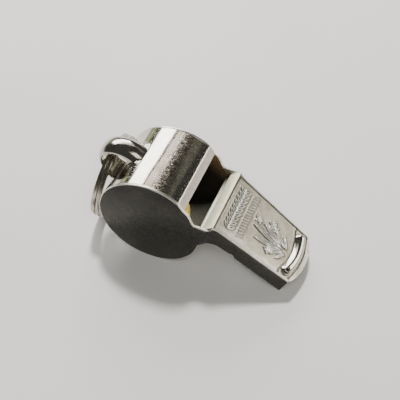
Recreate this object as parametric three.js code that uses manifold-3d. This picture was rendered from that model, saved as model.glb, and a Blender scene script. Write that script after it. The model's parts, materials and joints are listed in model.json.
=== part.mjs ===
// Pea whistle in plated brass sheet: a drum with a window and a lip, a flat tapered
// mouthpiece, a cork pea in the drum, a strap loop on its back and a split ring through it.
//
// Whistle axes, in millimetres: X runs from the drum's axis towards the mouthpiece tip,
// Y runs across the whistle from cheek to cheek, Z is square to the mouthpiece's top plate,
// and the drum's axis is the line x = 0, z = 0. The whole whistle is then tipped forward
// until the drum and the mouthpiece's lower edge both stand on the plane z = 0.

import * as THREE from 'three';
import { mergeVertices } from 'three/addons/utils/BufferGeometryUtils.js';
import Module from 'manifold-3d';

const wasm = await Module();
wasm.setup();

// ---- Driving dimensions ----

const drumRadius = 11.6;
const overallWidth = 18;
const sheet = 0.7;
const gap = 0.3;

const lipCreaseAngle = THREE.MathUtils.degToRad(90.5);
const lipEdge = { x: 2.25, z: 10.9 };
const lipEdgeThickness = 0.3;
const wrapEndAngle = THREE.MathUtils.degToRad(17);

const mouthTopZ = 11.8;
const mouthBaseZ = 7.2;
const mouthRootX = 9.3;
const mouthShoulderX = 30.7;
const mouthRootHalfWidth = 8.05;
const mouthTipHalfWidth = 6.65;
const sideWall = 0.55;
const tipArcRadius = 12;
const baseTipSagitta = 0.5;
const neckX = 13.6;

// The cheek's edge along the window, from the lip back to the mouthpiece.
const notchHigh = { x: 4.6, z: 10.2 };
const notchLow = { x: 5.4, z: 9.55 };
const notchCorner = { x: 6.45, z: 9.3 };
const shoulder = { x: 8.85, z: 11.0 };

// The neck's outline under the mouthpiece, from the drum up to the base.
const throat = [[10.9, 3.6], [11.4, 4.2], [12.6, 6.3]];
const throatStartX = 7.6;
const cheekSeat = { x: 10.6, z: 4.7 };

// Where the cheek's plate bends inwards to become the mouthpiece's side wall.
const bendStartX = 8.6;
const bendEndX = 10.1;

const slitJawZ = 9.1;
const jawThickness = 0.5;
const windwayFloorEndX = 21;
const windwayRoofEndX = 14;
const jawMiddleZ = 8.45;

const apronThickness = 0.6;
const apronInset = 0.25;
const apronBend = [[11.25, 3.75], [11.75, 4.7], [12.6, 6.1], [13.3, 6.85], [14.3, mouthBaseZ]];
const floorFold = [[8.7, 8.5], [8.15, 8.25], [8.25, 7.45], [9.2, 6.05], [9.95, 4.6]];

const beadRadius = 0.75;
const beadInset = 3.4;
const beadHalfSpan = 5.2;

const peaRadius = 5.0;

const loopWidth = 4.4;
const loopHalfHeight = 5.2;
const loopReach = 5.6;
const loopThickness = 1.15;

const ringMeanRadius = 9.2;
const ringTurnWidth = 0.97;
const ringTurnThickness = 1.05;
const ringTurnPitch = 1.03;
const ringStepSpan = THREE.MathUtils.degToRad(40);
const ringEndGap = THREE.MathUtils.degToRad(3);
const ringLean = THREE.MathUtils.degToRad(6);
const ringYaw = THREE.MathUtils.degToRad(-0.4);
const ringFoot = { x: -14.2, y: 1.45 };

// ---- Materials ----

function plated(color, roughness) {
  return new THREE.MeshStandardMaterial({ color, roughness, metalness: 1 });
}

const polishedPlate = plated(0xc9c8c2, 0.14);
const satinPlate = plated(0xbfb9aa, 0.34);
const ringWire = plated(0x8d8a80, 0.26);
const cork = new THREE.MeshStandardMaterial({ color: 0xb98a56, roughness: 0.9, metalness: 0 });

// ---- Solid helpers ----

function toManifold(geometry) {
  const bare = geometry.clone();
  bare.deleteAttribute('normal');
  bare.deleteAttribute('uv');
  const merged = mergeVertices(bare, 1e-4);
  const vertProperties = new Float32Array(merged.attributes.position.array);
  const triVerts = new Uint32Array(merged.index.array);
  return new wasm.Manifold(new wasm.Mesh({ numProp: 3, vertProperties, triVerts }));
}

function toGeometry(solid) {
  const mesh = solid.getMesh();
  const geometry = new THREE.BufferGeometry();
  geometry.setAttribute('position', new THREE.BufferAttribute(mesh.vertProperties, 3));
  geometry.setIndex(new THREE.BufferAttribute(mesh.triVerts, 1));
  geometry.computeVertexNormals();
  return geometry;
}

// Extrudes an outline drawn in the whistle's XZ plane along Y, from yLow to yHigh.
function acrossWhistle(shape, yLow, yHigh, curveSegments = 24) {
  const depth = yHigh - yLow;
  const geometry = new THREE.ExtrudeGeometry(shape, { depth, bevelEnabled: false, curveSegments });
  geometry.rotateX(Math.PI / 2);
  geometry.translate(0, yHigh, 0);
  return geometry;
}

// Extrudes an outline drawn in the whistle's XY plane along Z, from zLow to zHigh.
function upWhistle(shape, zLow, zHigh, curveSegments = 24) {
  const depth = zHigh - zLow;
  const geometry = new THREE.ExtrudeGeometry(shape, { depth, bevelEnabled: false, curveSegments });
  geometry.translate(0, 0, zLow);
  return geometry;
}

// Closed outline of a bent sheet: the path's points, then the same path moved sideways.
function sheetOutline(path, thickness) {
  const offset = path.map((point, i) => {
    const before = path[Math.max(i - 1, 0)];
    const after = path[Math.min(i + 1, path.length - 1)];
    const along = new THREE.Vector2().subVectors(after, before).normalize();
    return new THREE.Vector2(point.x - along.y * thickness, point.y + along.x * thickness);
  });
  return new THREE.Shape([...path, ...offset.reverse()]);
}

function smoothPath(corners, steps) {
  const points = corners.map(([x, z]) => new THREE.Vector3(x, z, 0));
  const curve = new THREE.CatmullRomCurve3(points, false, 'centripetal');
  return curve.getSpacedPoints(steps).map((p) => new THREE.Vector2(p.x, p.y));
}

// ---- Drum ----

// One strip rolled round the drum. It starts at the window's lip, and its far end turns
// up under the mouthpiece.
function barrelWrap() {
  const inner = drumRadius - sheet;
  const endAngle = 2 * Math.PI + wrapEndAngle;
  const outline = new THREE.Shape();
  outline.moveTo(lipEdge.x, lipEdge.z - lipEdgeThickness);
  outline.lineTo(lipEdge.x, lipEdge.z);
  outline.absarc(0, 0, drumRadius, lipCreaseAngle, endAngle, false);
  outline.absarc(0, 0, inner, endAngle, lipCreaseAngle, true);
  outline.closePath();
  const halfWidth = overallWidth / 2 - sheet - gap;
  return acrossWhistle(outline, -halfWidth, halfWidth, 72);
}

// A drum cheek and one side wall of the mouthpiece, pressed from one plate. The wall steps
// inwards at the neck and tapers to the tip. side is 1 for +Y and -1 for -Y.
function cheek(side) {
  const outerY = overallWidth / 2;
  const innerY = outerY - sheet;

  const disc = new THREE.Shape();
  disc.absarc(0, 0, drumRadius, lipCreaseAngle, 2 * Math.PI + wrapEndAngle, false);
  for (const corner of [cheekSeat, shoulder, notchCorner, notchLow, notchHigh, lipEdge]) {
    disc.lineTo(corner.x, corner.z);
  }
  disc.closePath();
  const discSolid = toManifold(acrossWhistle(disc, innerY, outerY, 72));

  // Seen from above, the plate's bend at the neck and the taper to the tip.
  const bend = new THREE.Shape();
  bend.moveTo(throatStartX, outerY);
  bend.lineTo(throatStartX, innerY);
  bend.lineTo(bendStartX, innerY);
  bend.lineTo(bendEndX, mouthRootHalfWidth - sideWall);
  bend.lineTo(mouthShoulderX, mouthTipHalfWidth - sideWall);
  bend.lineTo(mouthShoulderX, mouthTipHalfWidth);
  bend.lineTo(bendEndX, mouthRootHalfWidth);
  bend.lineTo(bendStartX, outerY);
  bend.closePath();
  const bendSolid = toManifold(upWhistle(bend, 0, mouthTopZ + 1));

  // Seen from the side, the outline of the neck and of the mouthpiece.
  const profile = new THREE.Shape();
  profile.moveTo(throatStartX, notchLow.z);
  profile.lineTo(throatStartX, throat[0][1]);
  for (const [x, z] of throat) {
    profile.lineTo(x, z);
  }
  profile.lineTo(neckX, mouthBaseZ);
  profile.lineTo(mouthShoulderX, mouthBaseZ);
  profile.lineTo(mouthShoulderX, mouthTopZ);
  profile.lineTo(mouthRootX, mouthTopZ);
  profile.lineTo(shoulder.x, shoulder.z);
  profile.closePath();
  const profileSolid = toManifold(acrossWhistle(profile, 0, overallWidth));

  const geometry = toGeometry(discSolid.add(bendSolid.intersect(profileSolid)));
  return side > 0 ? geometry : mirroredInY(geometry);
}

function mirroredInY(geometry) {
  const position = geometry.attributes.position;
  for (let i = 0; i < position.count; i += 1) {
    position.setY(i, -position.getY(i));
  }
  const index = geometry.index;
  for (let i = 0; i < index.count; i += 3) {
    const second = index.getX(i + 1);
    index.setX(i + 1, index.getX(i + 2));
    index.setX(i + 2, second);
  }
  geometry.computeVertexNormals();
  return geometry;
}

// ---- Mouthpiece ----

function halfWidthAt(x) {
  const t = (x - mouthRootX) / (mouthShoulderX - mouthRootX);
  return THREE.MathUtils.lerp(mouthRootHalfWidth, mouthTipHalfWidth, t);
}

// A tapered plate with a curved tip, seen from above.
function mouthPlan(startX, inset, tipRadius) {
  const endHalf = mouthTipHalfWidth - inset;
  const halfAngle = Math.asin(endHalf / tipRadius);
  const centreX = mouthShoulderX - tipRadius * Math.cos(halfAngle);
  const plan = new THREE.Shape();
  plan.moveTo(startX, halfWidthAt(startX) - inset);
  plan.lineTo(startX, -halfWidthAt(startX) + inset);
  plan.lineTo(mouthShoulderX, -endHalf);
  plan.absarc(centreX, 0, tipRadius, -halfAngle, halfAngle, false);
  plan.closePath();
  return plan;
}

function mouthpieceTop() {
  const plan = mouthPlan(mouthRootX, sideWall + gap, tipArcRadius);
  return upWhistle(plan, mouthTopZ - sheet, mouthTopZ);
}

function baseTipRadius() {
  const half = mouthTipHalfWidth;
  return (half * half + baseTipSagitta * baseTipSagitta) / (2 * baseTipSagitta);
}

function mouthpieceBase() {
  const plan = mouthPlan(neckX + 1, sideWall + gap, baseTipRadius());
  return upWhistle(plan, mouthBaseZ, mouthBaseZ + sheet);
}

// The strip's far end: a curved apron from the drum up to the mouthpiece's underside.
function neckApron() {
  const path = smoothPath(apronBend, 14);
  const halfWidth = mouthRootHalfWidth - sideWall - gap - apronInset;
  return acrossWhistle(sheetOutline(path, apronThickness), -halfWidth, halfWidth);
}

// The slit's upper jaw: it lies under the top plate and rolls over and down at the window.
function windwayRoof() {
  const underTop = mouthTopZ - sheet - gap - jawThickness;
  const roll = [[8.35, slitJawZ], [8.4, 9.8], [8.75, 10.4], [9.5, underTop + 0.15]];
  const path = smoothPath([...roll, [11, underTop], [windwayRoofEndX, underTop]], 16);
  const halfWidth = halfWidthAt(windwayRoofEndX) - sideWall - gap;
  return acrossWhistle(sheetOutline(path, jawThickness), -halfWidth, halfWidth);
}

// The slit's lower jaw: a ramp on the mouthpiece's base that ends under the upper jaw and
// folds down to meet the drum's strip.
function windwayFloor() {
  const flatZ = mouthBaseZ + sheet + gap + jawThickness;
  const ramp = [[windwayFloorEndX, flatZ], [16, flatZ], [11, jawMiddleZ]];
  const path = smoothPath([...ramp, ...floorFold], 34);
  const halfWidth = halfWidthAt(windwayFloorEndX) - sideWall - gap;
  return acrossWhistle(sheetOutline(path, jawThickness), -halfWidth, halfWidth);
}

// A raised ridge near the tip, which the teeth hold. It follows the tip's curve and has
// round ends.
function toothBead() {
  const radius = tipArcRadius - beadInset + 1;
  const halfAngle = Math.asin(beadHalfSpan / radius);
  const apexX = mouthShoulderX + tipSagitta() - beadInset;
  const steps = 20;
  const points = [];
  for (let i = 0; i <= steps; i += 1) {
    const angle = THREE.MathUtils.lerp(-halfAngle, halfAngle, i / steps);
    points.push(new THREE.Vector3(apexX - radius + radius * Math.cos(angle), radius * Math.sin(angle), 0));
  }
  const section = new THREE.Shape();
  section.absarc(0, 0, beadRadius, 0, 2 * Math.PI, false);
  const path = new THREE.CatmullRomCurve3(points);
  const tube = new THREE.ExtrudeGeometry(section, { extrudePath: path, steps, curveSegments: 12 });
  let solid = toManifold(tube);
  for (const end of [points[0], points[steps]]) {
    const ball = new THREE.SphereGeometry(beadRadius * 1.08, 14, 10);
    ball.translate(end.x, end.y, end.z);
    solid = solid.add(toManifold(ball));
  }
  solid = solid.trimByPlane([0, 0, 1], 0);
  const geometry = toGeometry(solid);
  geometry.translate(0, 0, mouthTopZ + gap);
  return geometry;
}

function tipSagitta() {
  const half = mouthTipHalfWidth;
  return tipArcRadius - Math.sqrt(tipArcRadius * tipArcRadius - half * half);
}

// ---- Pea, loop and ring ----

function corkPea() {
  return new THREE.SphereGeometry(peaRadius, 28, 20);
}

// A strap bent into an arch on the back of the drum, with its two feet on the drum.
function lanyardLoop() {
  const seat = drumRadius + gap;
  const outerFoot = Math.asin(loopHalfHeight / seat);
  const innerFoot = Math.asin((loopHalfHeight - loopThickness) / seat);
  const steps = 28;
  const arch = (halfHeight, reach, footAngle) => {
    const footX = seat * Math.cos(footAngle);
    const points = [];
    for (let i = 0; i <= steps; i += 1) {
      const t = THREE.MathUtils.lerp(-Math.PI / 2, Math.PI / 2, i / steps);
      const x = -footX - (drumRadius + reach - footX) * Math.cos(t);
      points.push(new THREE.Vector2(x, halfHeight * Math.sin(t)));
    }
    return points;
  };
  const outer = arch(loopHalfHeight, loopReach, outerFoot);
  const inner = arch(loopHalfHeight - loopThickness, loopReach - loopThickness, innerFoot);
  const outline = new THREE.Shape([...outer, ...inner.reverse()]);
  return acrossWhistle(outline, -loopWidth / 2, loopWidth / 2);
}

// Two turns of flat wire side by side. The wire steps from one turn's plane to the next
// just before it has gone once round, and it ends where the step began.
class SplitRingPath extends THREE.Curve {
  getPoint(t, target = new THREE.Vector3()) {
    const angle = t * (4 * Math.PI - ringStepSpan - ringEndGap);
    const step = THREE.MathUtils.smoothstep(angle, 2 * Math.PI - ringStepSpan, 2 * Math.PI);
    const height = (step - 0.5) * ringTurnPitch;
    return target.set(ringMeanRadius * Math.cos(angle), ringMeanRadius * Math.sin(angle), height);
  }
}

// The ring lies in its local XY plane, with its ends towards local -Y.
function splitRing() {
  const section = new THREE.Shape();
  const halfAcross = ringTurnWidth / 2;
  const halfRadial = ringTurnThickness / 2;
  const cut = 0.25;
  section.moveTo(-halfAcross, -halfRadial + cut);
  section.lineTo(-halfAcross + cut, -halfRadial);
  section.lineTo(halfAcross - cut, -halfRadial);
  section.lineTo(halfAcross, -halfRadial + cut);
  section.lineTo(halfAcross, halfRadial - cut);
  section.lineTo(halfAcross - cut, halfRadial);
  section.lineTo(-halfAcross + cut, halfRadial);
  section.lineTo(-halfAcross, halfRadial - cut);
  section.closePath();
  const steps = 112;
  const geometry = new THREE.ExtrudeGeometry(section, { extrudePath: new SplitRingPath(), steps });
  return geometry;
}

// ---- Assembly ----

const whistle = new THREE.Group();

function add(name, geometry, material) {
  const mesh = new THREE.Mesh(geometry, material.clone());
  mesh.name = name;
  whistle.add(mesh);
  return mesh;
}

add('barrel_wrap', barrelWrap(), polishedPlate);
add('right_cheek', cheek(-1), polishedPlate);
add('left_cheek', cheek(1), polishedPlate);
add('neck_apron', neckApron(), polishedPlate);
add('mouthpiece_top', mouthpieceTop(), satinPlate);
add('mouthpiece_base', mouthpieceBase(), polishedPlate);
add('windway_roof', windwayRoof(), satinPlate);
add('windway_floor', windwayFloor(), polishedPlate);
add('tooth_bead', toothBead(), polishedPlate);
add('lanyard_loop', lanyardLoop(), polishedPlate);

// Tipped forward about Y until the drum and the base plate's tip stand on z = 0.
const baseTipX = mouthShoulderX + baseTipSagitta;
const restTilt = Math.atan2(mouthBaseZ, baseTipX) + Math.asin(drumRadius / Math.hypot(baseTipX, mouthBaseZ));
whistle.rotation.y = restTilt;
whistle.position.z = drumRadius;

// The pea lies at the bottom of the drum, whichever way the whistle is tipped.
const pea = new THREE.Mesh(corkPea(), cork.clone());
pea.name = 'cork_pea';
pea.position.z = sheet + gap + peaRadius;

// The ring hangs through the loop, leaning on the back of the drum.
const ring = new THREE.Mesh(splitRing(), ringWire.clone());
ring.name = 'split_ring';
const ringOuterRadius = ringMeanRadius + ringTurnThickness / 2;
const ringUp = new THREE.Vector3(
  Math.cos(ringYaw) * Math.sin(ringLean),
  Math.sin(ringYaw) * Math.sin(ringLean),
  Math.cos(ringLean),
);
const ringAcross = new THREE.Vector3(-Math.sin(ringYaw), Math.cos(ringYaw), 0);
const ringAxis = new THREE.Vector3().crossVectors(ringAcross, ringUp);
ring.setRotationFromMatrix(new THREE.Matrix4().makeBasis(ringAcross, ringUp, ringAxis));
ring.position.set(ringFoot.x, ringFoot.y, 0.15).addScaledVector(ringUp, ringOuterRadius);

const standing = new THREE.Group();
standing.add(whistle, pea, ring);

// The origin is under the middle of the whole object, on the plane that it stands on.
standing.updateMatrixWorld(true);
const extent = new THREE.Box3().setFromObject(standing, true);
standing.position.set(
  -(extent.min.x + extent.max.x) / 2,
  -(extent.min.y + extent.max.y) / 2,
  -extent.min.z,
);

const group = new THREE.Group();
group.add(standing);

export default group;
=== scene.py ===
"""Looks of the pea whistle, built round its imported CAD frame.

Lengths are in millimetres in whistle axes unless a name ends in _M: X runs from the drum's
axis towards the mouthpiece tip, Y from cheek to cheek, Z square to the top plate.
"""

import json
import math

import bmesh
import bpy
import numpy as np
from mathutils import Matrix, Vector, noise
from mathutils.geometry import delaunay_2d_cdt, tessellate_polygon


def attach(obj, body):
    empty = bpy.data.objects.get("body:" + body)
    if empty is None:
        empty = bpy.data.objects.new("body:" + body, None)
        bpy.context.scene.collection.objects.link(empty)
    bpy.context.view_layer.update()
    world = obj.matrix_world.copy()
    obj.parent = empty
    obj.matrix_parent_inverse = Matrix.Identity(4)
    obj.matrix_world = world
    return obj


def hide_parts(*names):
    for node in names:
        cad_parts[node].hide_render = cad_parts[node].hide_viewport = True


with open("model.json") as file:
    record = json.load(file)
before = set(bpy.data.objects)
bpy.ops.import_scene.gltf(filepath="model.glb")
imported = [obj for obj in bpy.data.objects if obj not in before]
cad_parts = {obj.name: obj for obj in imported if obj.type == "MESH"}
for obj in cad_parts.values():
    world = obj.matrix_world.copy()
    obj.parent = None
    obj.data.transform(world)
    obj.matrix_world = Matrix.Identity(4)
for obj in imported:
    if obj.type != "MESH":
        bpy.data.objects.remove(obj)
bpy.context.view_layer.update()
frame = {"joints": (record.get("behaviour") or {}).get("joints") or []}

# ---- Sizes shared with the CAD part ----

MM = 0.001
DRUM_RADIUS = 11.6
HALF_WIDTH = 9.0
SHEET = 0.7
WALL = 0.6
WRAP_START = math.radians(88.5)
WRAP_END = math.radians(384.5)
TOP_Z = 11.8
BASE_Z = 7.2
BASE_TIP_X = 31.2
ROOT_X = 9.3
SHOULDER_X = 30.7
ROOT_HALF = 8.05
TIP_HALF = 6.65
TIP_ARC_RADIUS = 12.0
TIP_CORNER_X = 30.25
TIP_APEX_X = 32.3
PEA_RADIUS = 5.0
RING_RADIUS = 9.2
RING_TURN_WIDTH = 0.97
RING_TURN_THICKNESS = 1.05
RING_PITCH = 1.03
RING_LEAN = math.radians(6.0)
RING_YAW = math.radians(-0.4)
RING_FOOT = Vector((-14.2, 1.45, -DRUM_RADIUS + 0.15))
LOOP_HALF_HEIGHT = 5.2
LOOP_REACH = 5.6
LOOP_THICKNESS = 1.15
LOOP_HALF_WIDTH = 2.65

REST_TILT = math.atan2(BASE_Z, BASE_TIP_X) + math.asin(DRUM_RADIUS / math.hypot(BASE_TIP_X, BASE_Z))
DRUM_AXIS_M = np.array(next(j["pos_m"] for j in frame["joints"] if j["name"] == "pea_roll"))


def from_whistle(points):
    """Whistle axes in millimetres to the row frame in metres."""
    p = np.asarray(points, float)
    c, s = math.cos(REST_TILT), math.sin(REST_TILT)
    turned = np.stack([p[:, 0] * c + p[:, 2] * s, p[:, 1], -p[:, 0] * s + p[:, 2] * c], 1)
    return turned * MM + DRUM_AXIS_M


def from_upright(points):
    """Upright axes from the drum's centre, in millimetres, to the row frame in metres."""
    return np.asarray(points, float) * MM + DRUM_AXIS_M


# ---- Mesh helpers ----


class Shape:
    """Vertices and faces of one piece while it is being made."""

    def __init__(self):
        self.verts, self.faces, self.slots = [], [], []

    def add(self, points):
        start = len(self.verts)
        self.verts.extend([tuple(p) for p in points])
        return list(range(start, start + len(points)))

    def face(self, indices, slot=0):
        self.faces.append(tuple(indices))
        self.slots.append(slot)

    def bridge(self, a, b, slots=None, closed=True):
        count = len(a)
        for i in range(count if closed else count - 1):
            j = (i + 1) % count
            self.face((a[i], a[j], b[j], b[i]), 0 if slots is None else slots[i])

    def fill(self, ring, flat_points, slot=0):
        for triangle in tessellate_polygon([[Vector((p[0], p[1], 0)) for p in flat_points]]):
            self.face([ring[i] for i in triangle], slot)

    def fan_cap(self, ring, centre, slot=0):
        (middle,) = self.add([centre])
        for i in range(len(ring)):
            self.face((ring[i], ring[(i + 1) % len(ring)], middle), slot)


def make_piece(name, shape, materials, body, nodes, placed=from_whistle, sharp_deg=40):
    mesh = bpy.data.meshes.new(name)
    mesh.from_pydata(placed(shape.verts).tolist(), [], shape.faces)
    for material in materials:
        mesh.materials.append(material)
    mesh.polygons.foreach_set("material_index", shape.slots)
    tidy_mesh(mesh, math.radians(sharp_deg))
    piece = bpy.data.objects.new(name, mesh)
    bpy.context.scene.collection.objects.link(piece)
    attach(piece, body)
    if nodes:
        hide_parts(*nodes)
    return piece


def tidy_mesh(mesh, sharp_angle):
    """Welds, points the faces outwards, and shades smooth except across sharp edges."""
    bm = bmesh.new()
    bm.from_mesh(mesh)
    bmesh.ops.remove_doubles(bm, verts=bm.verts, dist=1e-7)
    bmesh.ops.dissolve_degenerate(bm, dist=1e-8, edges=bm.edges)
    bmesh.ops.recalc_face_normals(bm, faces=bm.faces)
    for face in bm.faces:
        face.smooth = True
    for edge in bm.edges:
        edge.smooth = edge.calc_face_angle(0.0) < sharp_angle
    bm.to_mesh(mesh)
    bm.free()
    mesh.update()


def rounded(corners, steps=4):
    """A closed outline whose corners (x, z, radius) are rounded. Radius 0 keeps a point."""
    points = [np.array(c[:2], float) for c in corners]
    radii = [c[2] if len(c) > 2 else 0.0 for c in corners]
    result = []
    count = len(points)
    for i in range(count):
        here, before, after = points[i], points[i - 1], points[(i + 1) % count]
        if radii[i] <= 0:
            result.append(here)
            continue
        a, b = before - here, after - here
        la, lb = np.linalg.norm(a), np.linalg.norm(b)
        a, b = a / la, b / lb
        half = math.acos(float(np.clip(a @ b, -1, 1))) / 2
        reach = min(radii[i] / max(math.tan(half), 1e-6), la * 0.48, lb * 0.48)
        for k in range(steps + 1):
            t = k / steps
            result.append(here + a * reach * (1 - t) ** 2 + b * reach * t**2)
    return np.array(result)


def arc(radius, start, end, steps):
    angles = np.linspace(start, end, steps)
    return [(radius * math.cos(a), radius * math.sin(a)) for a in angles]


def spline(corners, steps):
    """Points at even spacing on a smooth curve through the corners."""
    p = np.array(corners, float)
    p = np.vstack([2 * p[0] - p[1], p, 2 * p[-1] - p[-2]])
    dense = []
    for i in range(1, len(p) - 2):
        for t in np.linspace(0, 1, 16, endpoint=False):
            a, b, c, d = p[i - 1 : i + 3]
            square, cube = 2 * a - 5 * b + 4 * c - d, 3 * b - a - 3 * c + d
            dense.append(0.5 * (2 * b + (c - a) * t + square * t**2 + cube * t**3))
    dense.append(p[-2])
    dense = np.array(dense)
    length = np.r_[0, np.cumsum(np.linalg.norm(np.diff(dense, axis=0), axis=1))]
    at = np.linspace(0, length[-1], steps + 1)
    return np.stack([np.interp(at, length, dense[:, k]) for k in range(dense.shape[1])], 1)


def side_normals(path, closed=False):
    """Unit normals to the left of a flat path."""
    if closed:
        along = np.roll(path, -1, 0) - np.roll(path, 1, 0)
    else:
        along = np.gradient(path, axis=0)
    along = along / np.maximum(np.linalg.norm(along, axis=1), 1e-9)[:, None]
    return np.stack([-along[:, 1], along[:, 0]], 1)


def smoothstep(low, high, value):
    t = np.clip((np.asarray(value, float) - low) / (high - low), 0, 1)
    return t * t * (3 - 2 * t)


def inside(points, outline):
    x, y = points[:, 0], points[:, 1]
    result = np.zeros(len(points), bool)
    for (x0, y0), (x1, y1) in zip(outline, np.roll(outline, -1, 0)):
        crosses = (y0 > y) != (y1 > y)
        result ^= crosses & (x < (x1 - x0) * (y - y0) / ((y1 - y0) or 1e-12) + x0)
    return result


def distance_to(points, lines):
    """Distance from each point to the nearest of the segments (x0, y0, x1, y1)."""
    best = np.full(len(points), 1e9)
    for x0, y0, x1, y1 in lines:
        d = np.array([x1 - x0, y1 - y0])
        rel = points - (x0, y0)
        t = np.clip(rel @ d / max(d @ d, 1e-12), 0, 1)
        best = np.minimum(best, np.linalg.norm(rel - t[:, None] * d, axis=1))
    return best


def segments(path, closed=False):
    path = np.asarray(path, float)
    after = np.roll(path, -1, 0) if closed else path[1:]
    return [(*a, *b) for a, b in zip(path, after)]


def border(grid):
    """Outer ring of a grid of indices, given as a list of rows."""
    first, last = [row[0] for row in grid], [row[-1] for row in grid[-2::-1]]
    return first + grid[-1][1:] + last + grid[0][-2:0:-1]


# ---- Materials ----


class Nodes:
    """Short calls for building one material's nodes."""

    def __init__(self, name):
        self.material = bpy.data.materials.new(name)
        self.material.use_nodes = True
        self.tree = self.material.node_tree
        self.shader = self.tree.nodes["Principled BSDF"]
        self.place = self.whistle_place()

    def make(self, kind, **values):
        node = self.tree.nodes.new(kind)
        for key, value in values.items():
            if hasattr(node, key):
                setattr(node, key, value)
            else:
                node.inputs[key].default_value = value
        return node

    def link(self, source, target):
        self.tree.links.new(source, target)

    def whistle_place(self):
        """Whistle axes in millimetres at each point of the surface at rest."""
        c, s = math.cos(REST_TILT), math.sin(REST_TILT)
        x, y, z = DRUM_AXIS_M / MM
        where = self.make("ShaderNodeTexCoord").outputs["Object"]
        mapping = self.make("ShaderNodeMapping", vector_type="POINT")
        mapping.inputs["Location"].default_value = (-(x * c - z * s), -y, -(x * s + z * c))
        mapping.inputs["Rotation"].default_value = (0, -REST_TILT, 0)
        mapping.inputs["Scale"].default_value = (1 / MM,) * 3
        self.link(where, mapping.inputs["Vector"])
        return mapping.outputs["Vector"]

    def stretched(self, scale, turn=(0, 0, 0)):
        """Turned axes, then scaled, so that a texture can run along any direction."""
        mapping = self.make("ShaderNodeMapping", vector_type="TEXTURE")
        mapping.inputs["Scale"].default_value = [1 / s for s in scale]
        mapping.inputs["Rotation"].default_value = turn
        self.link(self.place, mapping.inputs["Vector"])
        return mapping.outputs["Vector"]

    def noise(self, scale, detail=3.0, rough=0.55, vector=None, warp=0.0):
        settings = {"Scale": scale, "Detail": detail, "Roughness": rough, "Distortion": warp}
        node = self.make("ShaderNodeTexNoise", **settings)
        self.link(vector or self.place, node.inputs["Vector"])
        return node.outputs["Fac"]

    def cells(self, scale, vector=None):
        node = self.make("ShaderNodeTexVoronoi", Scale=scale)
        self.link(vector or self.place, node.inputs["Vector"])
        return node.outputs["Distance"]

    def ranged(self, value, low, high, to_low=0.0, to_high=1.0):
        node = self.make("ShaderNodeMapRange", clamp=True)
        ends = (("From Min", low), ("From Max", high), ("To Min", to_low), ("To Max", to_high))
        for key, number in ends:
            node.inputs[key].default_value = number
        self.link(value, node.inputs["Value"])
        return node.outputs["Result"]

    def maths(self, operation, a, b):
        node = self.make("ShaderNodeMath", operation=operation)
        for socket, value in zip(node.inputs, (a, b)):
            if isinstance(value, (int, float)):
                socket.default_value = value
            else:
                self.link(value, socket)
        return node.outputs["Value"]

    def mixed(self, amount, a, b):
        node = self.make("ShaderNodeMix", data_type="RGBA")
        self.link(amount, node.inputs["Factor"])
        for key, value in (("A", a), ("B", b)):
            socket = next(i for i in node.inputs if i.name == key and i.type == "RGBA")
            if isinstance(value, tuple):
                socket.default_value = (*value, 1)
            else:
                self.link(value, socket)
        return next(o for o in node.outputs if o.type == "RGBA")

    def bump(self, height, depth, strength=1.0, below=None):
        node = self.make("ShaderNodeBump", Strength=strength, Distance=depth * MM)
        self.link(height, node.inputs["Height"])
        if below is not None:
            self.link(below, node.inputs["Normal"])
        return node.outputs["Normal"]

    def axis(self, name):
        node = self.make("ShaderNodeSeparateXYZ")
        self.link(self.place, node.inputs["Vector"])
        return node.outputs[name]

    def finish(self, color=None, roughness=None, normal=None, metallic=None):
        sockets = {"Base Color": color, "Roughness": roughness}
        sockets.update({"Normal": normal, "Metallic": metallic})
        for key, value in sockets.items():
            if value is None:
                continue
            if isinstance(value, (int, float)):
                self.shader.inputs[key].default_value = value
            elif isinstance(value, tuple):
                self.shader.inputs[key].default_value = (*value, 1)
            else:
                self.link(value, self.shader.inputs[key])
        return self.material


PIT_COLOR = (0.06, 0.05, 0.04)
# Near black: painted shade for the insides' dark ends and the bead's pit.
PAINTED_SHADE_COLOR = (0.02, 0.017, 0.013)


def scratches(n, density=1.0):
    """Fine crossing scratches, 1 in a scratch and 0 elsewhere."""
    total = None
    for turn, scale in ((0.5, 1.0), (1.35, 1.3), (2.4, 0.8)):
        along = n.stretched((0.35 * scale, 9 * scale, 9 * scale), (turn, turn * 0.6, turn))
        streak = n.noise(1.0, 2.0, 0.5, along)
        line = n.ranged(streak, 0.69 - 0.03 * density, 0.74, 0, 1)
        total = line if total is None else n.maths("MAXIMUM", total, line)
    return total


def pits(n, scale, size, spread_low, spread_high):
    """Small round pits, where a slow noise lets them through."""
    spot = n.ranged(n.cells(scale), size * 0.55, size, 1, 0)
    allowed = n.ranged(n.noise(0.35, 2.0), spread_low, spread_high)
    return n.maths("MULTIPLY", spot, allowed)


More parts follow.
